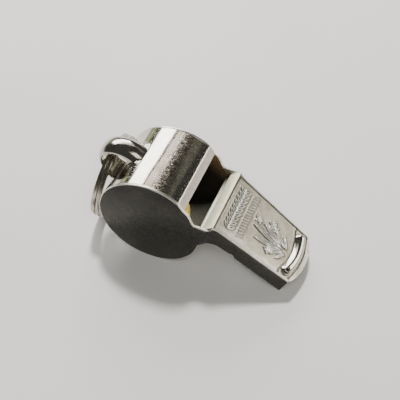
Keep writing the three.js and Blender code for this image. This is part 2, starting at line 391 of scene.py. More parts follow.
def polished_material(
    name, base, stain, roughness=0.09, wave=0.02, pepper=False, brushed=0.0, top_shade=False
):
    """Bright nickel plate: slow waviness, faint stains, fine scratches and small pits.

    pepper adds a worn, mottled band over the drum's top. brushed adds a grain of that strength.
    top_shade paints shade on the plate: darker towards its upper back and lighter towards its
    bottom, evening out the floor's reflection.
    """
    n = Nodes(name)
    cloud = n.ranged(n.noise(0.22, 4.0, 0.6), 0.38, 0.7)
    color = n.mixed(cloud, base, stain)
    if top_shade:
        # Painted shade: darker towards the upper back, lighter towards the bottom.
        height = n.ranged(n.maths("SUBTRACT", n.axis("Z"), n.axis("X")), -13, 14)
        color = n.mixed(height, tuple(c * 1.2 for c in base), tuple(c * 0.22 for c in base))
        color = n.mixed(n.maths("MULTIPLY", cloud, 0.35), color, stain)
    scratch = scratches(n)
    pit = pits(n, 2.4, 0.2, 0.5, 0.62)
    if pepper:
        across = n.axis("X")
        upper = n.ranged(n.axis("Z"), 2.0, 5.0)
        rise, fall = n.ranged(across, -5.9, -5.3), n.ranged(across, -4.0, -3.2, 1, 0.35)
        band = n.maths("MULTIPLY", rise, fall)
        band = n.maths("MULTIPLY", band, upper)
        speck = n.ranged(n.noise(1.9, 4.0, 0.85), 0.47, 0.52)
        pit = n.maths("MAXIMUM", pit, n.maths("MULTIPLY", speck, band))
    color = n.mixed(n.maths("MULTIPLY", pit, 0.88), color, PIT_COLOR)
    rough = n.ranged(n.noise(0.9, 4.0, 0.65), 0.35, 0.7, roughness * 0.7, roughness * 1.7)
    rough = n.maths("ADD", rough, n.maths("MULTIPLY", scratch, 0.06))
    rough = n.maths("ADD", rough, n.maths("MULTIPLY", pit, 0.08))
    wavy = n.bump(n.noise(0.3, 1.0, 0.4), wave, 1.0)
    if pepper:
        rise, fall = n.ranged(across, -6.4, -5.7), n.ranged(across, -4.8, -3.2, 1, 0)
        worn_band = n.maths("MULTIPLY", rise, fall)
        worn_band = n.maths("MULTIPLY", worn_band, upper)
        wavy = n.bump(n.maths("MULTIPLY", n.noise(2.8, 3.0, 0.75), worn_band), 0.06, 1.0, wavy)
    if brushed:
        grain = n.noise(1.0, 3.0, 0.6, n.stretched((0.3, 9, 9)))
        rough = n.maths("ADD", rough, n.ranged(grain, 0.35, 0.65, -brushed, brushed))
        wavy = n.bump(grain, 0.003, 0.8, wavy)
    worn = n.bump(n.maths("ADD", scratch, pit), -0.004, 1.0, wavy)
    return n.finish(color, rough, worn, 1.0)


def satin_material(name, base, stain, roughness=0.33):
    """Satin nickel: a fine brushed grain along the mouthpiece, stains and a few scratches."""
    n = Nodes(name)
    cloud = n.ranged(n.noise(0.3, 4.0, 0.65), 0.35, 0.7)
    grain = n.noise(1.0, 3.0, 0.6, n.stretched((0.5, 11, 4)))
    speckle = n.noise(4.5, 3.0, 0.7)
    color = n.mixed(cloud, base, stain)
    color = n.mixed(n.ranged(speckle, 0.48, 0.66, 0, 0.6), color, tuple(c * 0.5 for c in stain))
    # Tops of the raised lines are painted near white: rubbed bright metal in part, and a painted
    # highlight in part.
    crest = n.ranged(n.axis("Z"), TOP_Z - 0.04, TOP_Z + 0.04)
    color = n.mixed(crest, color, (1.0, 0.99, 0.93))
    scratch = scratches(n, 1.4)
    rough = n.ranged(grain, 0.3, 0.7, roughness * 0.75, roughness * 1.25)
    rough = n.maths("ADD", rough, n.maths("MULTIPLY", scratch, 0.1))
    first = n.bump(grain, 0.004, 0.7)
    second = n.bump(speckle, 0.02, 0.9, first)
    return n.finish(color, rough, n.bump(scratch, -0.006, 1.0, second), 1.0)


def matte_plate_material(name, base, stain, roughness, metallic=1.0):
    """Cut and filed plate: short file marks across a warm matt metal."""
    n = Nodes(name)
    marks = n.noise(1.0, 3.0, 0.6, n.stretched((10, 0.8, 10)))
    cloud = n.ranged(n.noise(0.8, 4.0, 0.65), 0.35, 0.68)
    color = n.mixed(cloud, base, stain)
    rough = n.ranged(marks, 0.3, 0.7, roughness * 0.85, roughness * 1.2)
    return n.finish(color, rough, n.bump(marks, 0.012, 0.8), metallic)


def brass_material(name, base, stain, roughness, metallic=1.0, shade_ramp=None):
    """Dull bare metal, blotchy and brown.

    shade_ramp names an axis, the place on it where painted shade makes the metal all dark, and
    where the metal keeps its own colour.
    """
    n = Nodes(name)
    blotch = n.ranged(n.noise(0.7, 5.0, 0.7, warp=0.6), 0.36, 0.66)
    darkening = n.ranged(n.noise(3.0, 4.0, 0.7), 0.45, 0.75)
    color = n.mixed(darkening, n.mixed(blotch, base, stain), tuple(c * 0.35 for c in stain))
    if shade_ramp:
        name_of_axis, all_shade, bright = shade_ramp
        # Painted shade: the colour goes to near black towards the shaded end of the axis.
        color = n.mixed(n.ranged(n.axis(name_of_axis), all_shade, bright), PAINTED_SHADE_COLOR, color)
    rough = n.ranged(blotch, 0, 1, roughness * 0.8, roughness * 1.25)
    return n.finish(color, rough, n.bump(n.noise(4.0, 3.0, 0.6), 0.02, 0.7), metallic)


def wire_material(name):
    """Spring wire with worn plating, streaked round the ring; the light streaks are worn plating in
    part and painted highlight in part.
    """
    n = Nodes(name)
    streak = n.noise(1.0, 4.0, 0.6, n.stretched((5, 0.4, 0.4), (0, -REST_TILT, 0)))
    dull = n.ranged(n.noise(0.8, 4.0, 0.7), 0.4, 0.7)
    # Light and dark streaks: worn plating in part, painted highlight in part.
    color = n.mixed(n.ranged(streak, 0.42, 0.62), (0.70, 0.67, 0.60), (0.16, 0.145, 0.12))
    color = n.mixed(n.maths("MULTIPLY", dull, 0.5), color, (0.30, 0.25, 0.16))
    rough = n.ranged(streak, 0.3, 0.7, 0.16, 0.38)
    return n.finish(color, rough, n.bump(n.maths("ADD", streak, scratches(n)), 0.01, 0.8), 1.0)


def cork_material(name):
    """Natural cork: warm tan, darker veins and open pores."""
    n = Nodes(name)
    vein = n.ranged(n.noise(0.45, 5.0, 0.7, warp=1.2), 0.42, 0.66)
    grain = n.noise(2.6, 4.0, 0.7)
    pore = n.ranged(n.cells(1.1), 0.12, 0.3, 1, 0)
    color = n.mixed(vein, (0.50, 0.31, 0.15), (0.30, 0.165, 0.07))
    color = n.mixed(n.ranged(grain, 0.5, 0.75, 0, 0.55), color, (0.62, 0.43, 0.24))
    color = n.mixed(pore, color, (0.09, 0.045, 0.02))
    rough = n.ranged(grain, 0.3, 0.7, 0.8, 0.96)
    normal = n.bump(n.maths("SUBTRACT", grain, pore), 0.12, 0.9)
    return n.finish(color, rough, normal, 0.0)


def solder_material(name):
    """Soft solder under the plating: lumpy and grey-bright."""
    n = Nodes(name)
    lump = n.noise(1.6, 3.0, 0.55)
    color = n.mixed(n.ranged(lump, 0.4, 0.65), (0.66, 0.64, 0.58), (0.42, 0.39, 0.33))
    rough = n.ranged(lump, 0.3, 0.7, 0.14, 0.34)
    return n.finish(color, rough, n.bump(lump, 0.12, 0.7), 1.0)


FLOOR_COLOR = (0.55, 0.545, 0.535)


def floor_material():
    """A plain pale table top."""
    n = Nodes("pale_floor")
    faint = n.noise(0.02, 3.0, 0.5)
    color = n.mixed(n.ranged(faint, 0.3, 0.7), FLOOR_COLOR, tuple(c * 0.96 for c in FLOOR_COLOR))
    rough = n.ranged(faint, 0.3, 0.7, 0.55, 0.62)
    return n.finish(color, rough, n.bump(n.noise(3.0, 3.0), 0.01, 0.4), 0.0)


MIRROR = polished_material("nickel_mirror", (0.62, 0.60, 0.55), (0.50, 0.475, 0.42))
# Painted reflection: the cheek's nickel gets a nearly black base colour, as though it mirrored a
# dark table.
CHEEK = polished_material(
    "nickel_cheek", (0.080, 0.078, 0.069), (0.062, 0.060, 0.053), 0.23, 0.03,
    brushed=0.06, top_shade=True,
)
BARREL = polished_material(
    "nickel_barrel", (0.66, 0.64, 0.575), (0.54, 0.51, 0.43), 0.06, 0.02, pepper=True
)
SATIN = satin_material("nickel_satin", (0.58, 0.555, 0.47), (0.44, 0.41, 0.33), 0.3)
LIP = matte_plate_material("filed_lip", (0.56, 0.53, 0.48), (0.45, 0.41, 0.36), 0.42)
# Near-white metal on the cheeks' rounded rims: filed bright metal in part, and a painted highlight
# in part.
EDGE = matte_plate_material("bright_edge", (0.95, 0.94, 0.90), (0.74, 0.70, 0.60), 0.3)
CREAM = matte_plate_material("filed_roof", (0.76, 0.73, 0.62), (0.66, 0.62, 0.42), 0.5, 0.4)
# Painted shade: the inner brass darkens towards the bottom of the drum.
INSIDE = brass_material(
    "brass_inside", (0.31, 0.20, 0.10), (0.18, 0.115, 0.058), 0.5, 0.25, ("Z", 5.5, 10.5)
)
# Painted light and shade: the near-white base paints light on the dull inner walls, and they darken
# towards the far cheek.
GREY_INSIDE = brass_material(
    "dull_inside", (0.97, 1.0, 0.86), (0.88, 0.86, 0.70), 0.4, 0.15, ("Y", 7.5, 0.5)
)
WORN_BRASS = brass_material("brass_worn", (0.70, 0.53, 0.10), (0.36, 0.22, 0.05), 0.42, 0.6)
# Near black: painted shade in the bead's punched pit.
PIT_SHADE = matte_plate_material("darkening", (0.035, 0.03, 0.024), PAINTED_SHADE_COLOR, 0.8, 0.0)
WIRE = wire_material("spring_wire")
CORK = cork_material("cork")
SOLDER = solder_material("solder")

# ---- Width of the whistle ----


def taper_half(x):
    """Half width of the mouthpiece outside its walls."""
    t = (np.asarray(x, float) - ROOT_X) / (SHOULDER_X - ROOT_X)
    return ROOT_HALF + (TIP_HALF - ROOT_HALF) * t


def plate_y(x, z):
    """Outer face of a cheek: flat on the drum, then bent in to the mouthpiece's taper."""
    x, z = np.asarray(x, float), np.asarray(z, float)
    bend_x = 8.1 + (11.0 - z) * 0.36
    bent = smoothstep(0.0, 1.0, (x - bend_x) / np.clip(1.7 + (z - 5) * 0.22, 1.7, 3.0))
    dome = 0.1 * np.clip(1 - (x * x + z * z) / DRUM_RADIUS**2, 0, 1)
    return (HALF_WIDTH + dome) * (1 - bent) + taper_half(x) * bent


# ---- Drum, neck and mouthpiece base ----

STRIP_NECK = [
    (10.72, 4.95), (11.15, 5.3), (12.05, 6.2), (12.85, 6.95),
    (13.6, 7.22), (14.6, 7.34), (16.8, 7.5),
]
# How far a plate between the cheeks runs into them, where the solder joins them.
SEAM_COVER = 0.04


def strip_across(section, stations=13):
    """Sweeps a section in X and Z from cheek to cheek, as wide as the cheeks let it be."""
    shape = Shape()
    half = plate_y(section[:, 0], section[:, 1]) - WALL + SEAM_COVER
    rings = []
    for share in np.linspace(-1, 1, stations):
        rings.append(shape.add(np.stack([section[:, 0], half * share, section[:, 1]], 1)))
    return shape, rings


def finish_strip(shape, rings, slots):
    """Joins the rings and closes both ends between the section's two faces."""
    for a, b in zip(rings, rings[1:]):
        shape.bridge(a, b, slots)
    for ring in (rings[0], rings[-1]):
        for i in range(len(ring) // 2 - 1):
            shape.face((ring[i], ring[i + 1], ring[-2 - i], ring[-1 - i]), 1)
    return shape


LIP_PATH = [(2.28, 10.84), (1.8, 10.98), (1.2, 11.22), (0.8, 11.39), (0.52, 11.52)]
LIP_THICKNESS = 0.32
STRIP_THICKNESS = SHEET * 0.93


def make_barrel():
    """The rolled strip: the window's lip, the drum's wall, and the neck under the mouthpiece."""
    drum = arc(DRUM_RADIUS, WRAP_START, WRAP_END, 190)[:-1]
    path = np.vstack([np.array(LIP_PATH + drum), spline(STRIP_NECK, 40)])
    lip, outer = len(LIP_PATH), len(path)
    thickness = np.where(np.arange(outer) < lip, LIP_THICKNESS, STRIP_THICKNESS)
    inner = path + side_normals(path) * thickness[:, None]
    section = np.vstack([path, inner[::-1]])
    slots = [2] * lip + [0] * (outer - lip) + [1] * outer
    shape, rings = strip_across(section)
    finish_strip(shape, rings, slots)
    materials, nodes = [BARREL, GREY_INSIDE, LIP], ["barrel_wrap", "neck_apron"]
    return make_piece(
        "drum_strip", shape, materials, "whistle_body", nodes, sharp_deg=24
    )


def cheek_outline():
    """Outline of one cheek and its side wall, with the corners rounded."""
    corners = [(x, z) for x, z in arc(DRUM_RADIUS, WRAP_START, WRAP_END - 0.01, 180)]
    corners += [tuple(p) for p in spline(STRIP_NECK, 26)[:-1]]
    corners += [(16.95, 7.52, 0.1), (17.05, 7.82, 0.1), (17.7, 7.7, 0.15), (18.2, 7.2, 0.2)]
    corners += [(24.0, BASE_Z), (BASE_TIP_X, BASE_Z + 0.02, 0.28), (30.8, 9.2)]
    corners += [(TIP_CORNER_X, TOP_Z, 0.3), (20.0, TOP_Z), (ROOT_X, TOP_Z, 0.2)]
    corners += [(8.9, 10.75, 0.2), (6.3, 9.15, 0.12)]
    corners += [(5.3, 9.6, 0.2), (4.6, 10.15, 0.2), (3.5, 10.68, 0.5), (2.3, 10.86)]
    corners += [(1.8, 11.0), (1.2, 11.24), (0.8, 11.4), (0.52, 11.53)]
    return resampled(rounded(corners), 0.22)


def resampled(outline, spacing):
    """The outline with long edges cut into short ones."""
    result = []
    for a, b in zip(outline, np.roll(outline, -1, 0)):
        count = max(1, int(np.linalg.norm(b - a) / spacing))
        result.extend(a + (b - a) * k / count for k in range(count))
    return np.array(result)


def filled_face(outline, spacing):
    """Vertices and triangles that fill an outline, with a slightly uneven grid inside it."""
    low, high = outline.min(0), outline.max(0)
    xs = np.arange(low[0] + spacing / 2, high[0], spacing)
    zs = np.arange(low[1] + spacing / 2, high[1], spacing)
    grid = []
    for x in xs:
        for z in zs:
            grid.append((x + 0.12 * math.sin(13 * z + 4 * x), z + 0.12 * math.cos(7 * x + 3 * z)))
    grid = np.array(grid)
    grid = grid[inside(grid, outline)]
    grid = grid[distance_to(grid, segments(outline, True)) > spacing * 0.55]
    points = [Vector(p) for p in outline] + [Vector(p) for p in grid]
    count = len(outline)
    verts, _, faces, *_ = delaunay_2d_cdt(points, [], [list(range(count))], 1, 1e-6)
    return np.array([tuple(v) for v in verts]), faces


CHEEK_ROUND_OUTER = 0.14
CHEEK_ROUND_INNER = 0.1


def cheek_levels():
    """Inset and depth of each ring of a cheek's rim, from its outer face to its inner face."""
    levels = []
    for k in range(6):
        t = k / 5 * math.pi / 2
        inset, depth = CHEEK_ROUND_OUTER * (1 - math.sin(t)), CHEEK_ROUND_OUTER * (1 - math.cos(t))
        levels.append((inset, depth))
    for k in range(1, 4):
        t = k / 3 * math.pi / 2
        depth = WALL - CHEEK_ROUND_INNER + CHEEK_ROUND_INNER * math.sin(t)
        levels.append((CHEEK_ROUND_INNER * (1 - math.cos(t)), depth))
    return levels


def beyond_notch(x, z):
    """Whether a place on a cheek's inner face is on the mouthpiece side of the window's notch."""
    return x > 6.5 and 0.3 * x + z > 10.9


def make_cheek(name, side, node):
    """Drum side and mouthpiece wall. side is -1 for the near cheek and 1 for the far one."""
    outline = cheek_outline()
    inward = side_normals(outline, True)
    shape = Shape()

    def ring(inset, depth):
        flat = outline + inward * inset
        y = (plate_y(outline[:, 0], outline[:, 1]) - depth) * side
        return shape.add(np.stack([flat[:, 0], y, flat[:, 1]], 1)), flat

    rings = [ring(*level) for level in cheek_levels()]
    for (a, _), (b, _) in zip(rings, rings[1:]):
        shape.bridge(a, b, [2] * len(outline))
    for (_, flat), depth, slot in ((rings[0], 0.0, 0), (rings[-1], WALL, 1)):
        verts, faces = filled_face(flat, 0.55)
        y = (plate_y(verts[:, 0], verts[:, 1]) - depth) * side
        start = shape.add(np.stack([verts[:, 0], y, verts[:, 1]], 1))[0]
        for face in faces:
            # Inner-face faces beyond the window's notch take the near-white edge material as a
            # painted highlight.
            bright = slot == 1 and beyond_notch(*verts[list(face)].mean(0))
            shape.face([start + i for i in face], 2 if bright else slot)
    materials = [CHEEK, INSIDE, EDGE]
    return make_piece(
        name, shape, materials, "whistle_body", [node], sharp_deg=50
    )


def make_base():
    """The mouthpiece's lower plate, from under the lap seam to the tip."""
    upper = [(14.6, 7.85), (30.4, 7.85), (31.15, 7.75)]
    lower = [(31.22, 7.45), (31.0, 7.22), (24.0, BASE_Z), (18.1, BASE_Z)]
    lower += [(17.6, 7.42), (17.0, 7.5), (14.6, 7.5)]
    section = resampled(rounded([(x, z, 0.12) for x, z in upper + lower]), 0.5)
    shape = Shape()
    rings = []
    for share in np.linspace(-1, 1, 31):
        half = plate_y(section[:, 0], section[:, 1]) - WALL + SEAM_COVER
        tip = smoothstep(30.2, 31.2, section[:, 0])
        x = section[:, 0] - tip * 0.5 * share**2
        rings.append(shape.add(np.stack([x, half * share, section[:, 1]], 1)))
    for a, b in zip(rings, rings[1:]):
        shape.bridge(a, b)
    for ring in (rings[0], rings[-1]):
        shape.fill(ring, section)
    nodes = ["mouthpiece_base"]
    return make_piece("mouthpiece_floor", shape, [CHEEK], "whistle_body", nodes)


# ---- Windway ----

ROOF_PATH = [
    (13.5, 9.75), (11.0, 9.45), (9.3, 9.12), (8.5, 8.98), (8.24, 9.14),
    (8.26, 9.6), (8.46, 10.35), (8.76, 11.1), (9.04, 11.56), (9.28, 11.79),
]
FLOOR_PATH = [
    (21.0, 8.6), (16.0, 8.6), (11.0, 8.35), (8.75, 8.42), (8.18, 8.15),
    (8.25, 7.45), (9.0, 6.2), (9.6, 5.0), (10.2, 4.0),
]
ROOF_THICKNESS = 0.45
FLOOR_THICKNESS = 0.5


def make_roof():
    """The upper jaw of the slit, folded up at the window to meet the top plate."""
    path = spline(ROOF_PATH, 70)
    inner = path - side_normals(path) * ROOF_THICKNESS
    section = np.vstack([path, inner[::-1]])
    slots = [0] * len(path) + [1] * len(path)
    shape, rings = strip_across(section, 41)
    finish_strip(shape, rings, slots)
    materials, nodes = [CREAM, INSIDE], ["windway_roof"]
    return make_piece(
        "slit_roof", shape, materials, "whistle_body", nodes, sharp_deg=50
    )


def make_slit_floor():
    """The lower jaw of the slit, with the ramp that runs down into the drum."""
    path = spline(FLOOR_PATH, 90)
    section = np.vstack([path, (path + side_normals(path) * FLOOR_THICKNESS)[::-1]])
    shape, rings = strip_across(section, 9)
    finish_strip(shape, rings, [0] * len(section))
    materials, nodes = [GREY_INSIDE, GREY_INSIDE], ["windway_floor"]
    return make_piece("slit_floor", shape, materials, "whistle_body", nodes)


# ---- Top plate and its ornament ----

PLATE_FRONT_X = 9.76
PLATE_DEPTH = 0.62
PLATE_RECESS = 0.06
LINE_WIDTH = 0.13
LINE_HEIGHT = 0.24


def circle(x, y, radius, steps):
    angles = np.linspace(0, 2 * math.pi, steps + 1)
    return [(x + radius * math.cos(a), y + radius * math.sin(a)) for a in angles]


def petal(x, y, angle, length, width, steps=12):
    """Outline of a leaf that starts at (x, y) and points along the angle."""
    along = np.linspace(0, 1, steps + 1)
    half = width * np.sin(np.pi * along) ** 0.9 * (1 - 0.25 * along)
    c, s = math.cos(angle), math.sin(angle)
    up = [(x + length * t * c - h * s, y + length * t * s + h * c) for t, h in zip(along, half)]
    down = [(x + length * t * c + h * s, y + length * t * s - h * c) for t, h in zip(along, half)]
    return up + down[::-1]


def blossom(x, y, size, turn):
    """A five-petal flower with a ringed middle."""
    lines = segments(circle(x, y, size * 0.22, steps=8), True)
    for k in range(5):
        angle = turn + k * 2 * math.pi / 5
        start = (x + size * 0.25 * math.cos(angle), y + size * 0.25 * math.sin(angle))
        lines += segments(petal(*start, angle, size * 0.8, size * 0.24, 8), True)
    return lines


def garland():
    """A stem across the plate with pairs of small leaves along it."""
    lines = segments([(12.2, -5.7), (12.2, 5.7)])
    for k in range(9):
        y = -5.6 + 1.25 * k
        for angle in (42, 138):
            lines += segments(petal(12.2, y, math.radians(angle), 1.75, 0.34, 8), True)
    return lines


# Leaves of the spray: direction in degrees, distance from the root, length, half width.
SPRAY = [
    (176, 1.6, 8.0, 0.55),
    (161, 2.2, 5.6, 0.5),
    (-167, 2.0, 6.6, 0.52),
    (145, 1.2, 4.8, 0.42),
    (-149, 1.2, 4.6, 0.42),
    (122, 0.9, 2.8, 0.34),
    (-124, 0.9, 2.6, 0.34),
]
SPRAY_ROOT = (26.9, -0.9)
BLOSSOMS = [(21.6, 2.6, 1.3, 0.3), (22.6, -3.1, 1.2, 0.9), (17.9, 1.6, 1.0, 0.1)]


def ornament_lines():
    """Generic stamped ornament: a garland, a row of short slanting bars and a leaf spray."""
    lines = garland()
    for k in range(15):
        y = -5.6 + 0.77 * k
        lines += segments([(14.7, y), (15.8, y + 0.5)])
    for angle, start, length, width in SPRAY:
        c, s = math.cos(math.radians(angle)), math.sin(math.radians(angle))
        x, y = SPRAY_ROOT[0] + start * c, SPRAY_ROOT[1] + start * s
        lines += segments(petal(x, y, math.radians(angle), length, width), True)
        rib_end = (x + length * 0.8 * c, y + length * 0.8 * s)
        lines += segments([(x + 0.6 * c, y + 0.6 * s), rib_end])
    for flower in BLOSSOMS:
        lines += blossom(*flower)
    return lines


BEAD_POINTS = [
    (28.1, -5.75), (28.65, -4.2), (29.2, -2.0), (29.42, 0.0), (29.3, 2.0), (28.85, 4.1), (28.2, 5.7)
]
BEAD_HALF = 1.32
PIT_RADIUS = 0.42
BEAD_HEIGHT = 1.0
BEAD_PROFILE = [
    (-1.0, 0.0), (-0.9, 0.2), (-0.52, 0.8), (-0.3, 0.97), (-0.08, 1.0),
    (0.35, 0.92), (0.72, 0.72), (0.93, 0.38), (1.0, 0.0),
]


def plate_relief(points):
    """Height above the plate's plane: stamped lines, a shallow dish and the tip's rolled rim."""
    lines = distance_to(points, ornament_lines())
    raised = LINE_HEIGHT * (1 - smoothstep(LINE_WIDTH * 0.6, LINE_WIDTH * 1.5, lines))
    raised -= 0.035 * np.exp(-(((lines - LINE_WIDTH * 2.1) / 0.12) ** 2))
    bead = distance_to(points, segments(BEAD_POINTS))
    groove = -0.14 * np.exp(-(((bead - 1.45) / 0.16) ** 2))
    x, y = points[:, 0], points[:, 1]
    wide = np.array([noise.noise(Vector((px * 0.16, py * 0.16, 3.1))) for px, py in points])
    fine = np.array([noise.noise(Vector((px * 0.6, py * 0.6, 8.7))) for px, py in points])
    dish = -0.07 * (1 - smoothstep(3.0, 7.0, np.abs(y))) * (1 - smoothstep(24, 29, x))
    return raised + groove + dish + 0.05 * wide + 0.012 * fine


PLATE_COLUMNS, PLATE_ROWS = 300, 181


def plate_surface():
    """Points of the plate's upper side, as a grid from the window to the tip and across."""
    along, across = np.linspace(0, 1, PLATE_COLUMNS), np.linspace(-1, 1, PLATE_ROWS)
    u, v = np.meshgrid(along, across, indexing="ij")
    tip_x = TIP_APEX_X - (TIP_ARC_RADIUS - np.sqrt(TIP_ARC_RADIUS**2 - (v * TIP_HALF) ** 2))
    teeth = 0.3 * np.abs(((v * 17.5) % 1) - 0.5) * 2 * (1 - u) ** 24
    x = PLATE_FRONT_X - teeth + (tip_x - PLATE_FRONT_X) * u
    spread = smoothstep(TIP_CORNER_X - 0.5, TIP_CORNER_X + 0.3, x)
    near = (v < 0) * (1 - smoothstep(0.0, 0.1, v + 0.05))
    between_walls = plate_y(x, np.full_like(x, TOP_Z)) - WALL - 0.05 + 0.1 * near
    half = between_walls * (1 - spread) + (TIP_HALF + 0.03) * spread
    y = half * v
    points = np.stack([x.ravel(), y.ravel()], 1)
    from_side = (1 - np.abs(v)) * half + near * 9 * (1 - spread)
    edge = np.minimum(from_side, np.minimum(u, 1 - u) * 21).ravel()
    z = TOP_Z - PLATE_RECESS + plate_relief(points) * smoothstep(0.0, 0.35, edge)
    z -= 0.1 * (1 - smoothstep(0, 0.16, edge))
    z += 0.04 * spread.ravel() + (PLATE_RECESS * near * smoothstep(0.6, 1.0, np.abs(v))).ravel()
    return np.stack([points[:, 0], points[:, 1], z], 1)


def make_top_plate():
    """The stamped plate, closed below by a flat face."""
    shape = Shape()
    index = np.array(shape.add(plate_surface())).reshape(PLATE_COLUMNS, PLATE_ROWS)
    for i in range(PLATE_COLUMNS - 1):
        for j in range(PLATE_ROWS - 1):
            shape.face((index[i, j], index[i + 1, j], index[i + 1, j + 1], index[i, j + 1]))
    rim = border(index.tolist())
    outline = np.array([shape.verts[i] for i in rim])
    rings = [rim]
    for drop in (0.2, PLATE_DEPTH):
        lower = outline.copy()
        lower[:, 2] = TOP_Z - PLATE_RECESS - drop
        rings.append(shape.add(lower))
    for a, b in zip(rings, rings[1:]):
        shape.bridge(a, b)
    shape.fill(rings[-1], outline[:, :2], 1)
    materials, nodes = [SATIN, GREY_INSIDE], ["mouthpiece_top"]
    return make_piece(
        "mouthpiece_plate", shape, materials, "whistle_body", nodes, sharp_deg=60
    )


BEAD_RINGS = 150
BEAD_STEPS = 400
PIT_DEPTH = 0.8
PIT_SHARE = 0.2


def bead_line():
    """The ridge's middle line, close-set at its ends, and how full the ridge is at each point."""
    share = (1 - np.cos(np.linspace(0, math.pi, BEAD_RINGS))) / 2
    line = spline(BEAD_POINTS, BEAD_STEPS)
    steps = np.arange(BEAD_STEPS + 1)
    centre = np.stack([np.interp(share * BEAD_STEPS, steps, line[:, k]) for k in range(2)], 1)
    length = np.linalg.norm(np.diff(line, axis=0), axis=1).sum()
    end = np.minimum(share * length, length - share * length)
    swell = np.sqrt(np.clip(1 - (1 - np.clip(end / BEAD_HALF, 0, 1)) ** 2, 1e-6, 1))
    return centre, swell


def make_bead():
    """The raised ridge that the teeth hold, with a punched dimple in its near end."""
    profile = np.vstack([spline(BEAD_PROFILE, 30), [(1.0, -0.25), (-1.0, -0.25)]])
    centre, swell = bead_line()
    normal = side_normals(centre)
    pit = centre[int(BEAD_RINGS * PIT_SHARE)]
    base_z = TOP_Z - PLATE_RECESS
    shape = Shape()
    made = []
    for k in range(BEAD_RINGS):
        flat = centre[k] - normal[k] * BEAD_HALF * swell[k] * profile[:, :1]
        z = base_z + profile[:, 1] * BEAD_HEIGHT * swell[k] ** 0.8
        near = np.linalg.norm(flat - pit, axis=1)
        z -= PIT_DEPTH * np.exp(-((near / PIT_RADIUS) ** 4)) * (z > base_z)
        made.append(shape.add(np.column_stack([flat, z])))
    for a, b in zip(made, made[1:]):
        shape.bridge(a, b)
    # Faces inside the pit take the near-black material, painted shade in the pit.
    for i, face in enumerate(shape.faces):
        middle = np.mean([shape.verts[v] for v in face], axis=0)
        if np.linalg.norm(middle[:2] - pit) < PIT_RADIUS and middle[2] > base_z:
            shape.slots[i] = 1
    for ring, k in ((made[0], 0), (made[-1], -1)):
        shape.fan_cap(ring, (centre[k][0], centre[k][1], base_z))
    materials, nodes = [MIRROR, PIT_SHADE], ["tooth_bead"]
    return make_piece(
        "bite_ridge", shape, materials, "whistle_body", nodes, sharp_deg=70
    )


# ---- Loop, ring and pea ----


LOOP_FOOT_SINK = 0.35
LOOP_CROWN = 0.15
UPPER_ARM_EXTRA = 1.15


def loop_arch(half_height, reach, steps):
    """Arch on the drum's back. Its feet run a little way into the drum."""
    seat = DRUM_RADIUS - LOOP_FOOT_SINK
    foot_x = seat * math.cos(math.asin(half_height / seat))
    t = np.linspace(-math.pi / 2, math.pi / 2, steps)
    x = -foot_x - (DRUM_RADIUS + reach - foot_x) * np.cos(t)
    return np.stack([x, half_height * np.sin(t)], 1)


def make_loop():
    """A crowned strap bent into an arch."""
    steps = 90
    outer = loop_arch(LOOP_HALF_HEIGHT, LOOP_REACH + LOOP_CROWN, steps)
    upper = loop_arch(LOOP_HALF_HEIGHT + UPPER_ARM_EXTRA, LOOP_REACH + LOOP_CROWN, steps)
    outer[steps // 2 :] = upper[steps // 2 :]
    inner = loop_arch(LOOP_HALF_HEIGHT - LOOP_THICKNESS, LOOP_REACH - LOOP_THICKNESS, steps)
    flare = 1 + 0.12 * np.abs(np.linspace(-1, 1, steps)) ** 6
    across = np.linspace(-1, 1, 27)
    shape = Shape()
    rings = []
    for k in range(steps):
        out_points, in_points = [], []
        for a in across:
            crown = 0.62 * abs(a) ** 2.3 + 0.16 * abs(a) ** 14
            flat = outer[k] + (inner[k] - outer[k]) * min(crown, 0.86)
            out_points.append((flat[0], a * LOOP_HALF_WIDTH * flare[k], flat[1]))
            lift = 0.1 * abs(a) ** 8
            flat = inner[k] + (outer[k] - inner[k]) * lift
            in_points.append((flat[0], a * LOOP_HALF_WIDTH * flare[k] * 0.985, flat[1]))
        rings.append(shape.add(out_points + in_points[::-1]))
    for a, b in zip(rings, rings[1:]):
        shape.bridge(a, b)
    for ring in (rings[0], rings[-1]):
        shape.face(ring)
    nodes = ["lanyard_loop"]
    return make_piece(
        "strap_loop", shape, [MIRROR], "whistle_body", nodes, sharp_deg=60
    )


def make_loop_solder():
    """Solder that has run round each foot of the loop and on to the drum."""
    shape = Shape()
    foot_angle = math.asin((LOOP_HALF_HEIGHT - LOOP_THICKNESS / 2) / DRUM_RADIUS)
    for side in (-1, 1):
        angles = np.linspace(-4.0, 4.0, 60)
        across = np.linspace(-5.2, 5.2, 76)
        index = []
        for s in angles:
            row = []
            for y in across:
                dx = max(abs(s) - LOOP_THICKNESS * 0.55, 0)
                dy = max(abs(y) - LOOP_HALF_WIDTH * 1.05, 0)
                wobble = 0.12 * noise.noise(Vector((s * 0.5 + side * 5, y * 0.5, 1.7)))
                away = math.hypot(dx, dy) + wobble
                # The upper foot has more solder on the side that faces the lower one.
                rise, spread = (0.7, 0.95) if side < 0 < s else (0.45, 0.7)
                height = rise * math.exp(-((max(away, 0) / spread) ** 1.6)) - 0.09
                angle = math.pi + side * foot_angle + s / DRUM_RADIUS
                radius = DRUM_RADIUS + height
                row.append((radius * math.cos(angle), y, radius * math.sin(angle)))
            index.append(shape.add(row))
        for a, b in zip(index, index[1:]):
            shape.bridge(a, b, closed=False)
    return make_piece(
        "loop_solder", shape, [SOLDER], "whistle_body", [], sharp_deg=180
    )


def ring_axes():
    """The ring's plane (across and up) and its axis, in upright axes."""
    yaw_cos, yaw_sin = math.cos(RING_YAW), math.sin(RING_YAW)
    lean_cos, lean_sin = math.cos(RING_LEAN), math.sin(RING_LEAN)
    up = Vector((yaw_cos * lean_sin, yaw_sin * lean_sin, lean_cos))
    across = Vector((-yaw_sin, yaw_cos, 0))
    return across, up, across.cross(up)


WIRE_ROUNDING = 0.3
PEA_GAP = 0.3


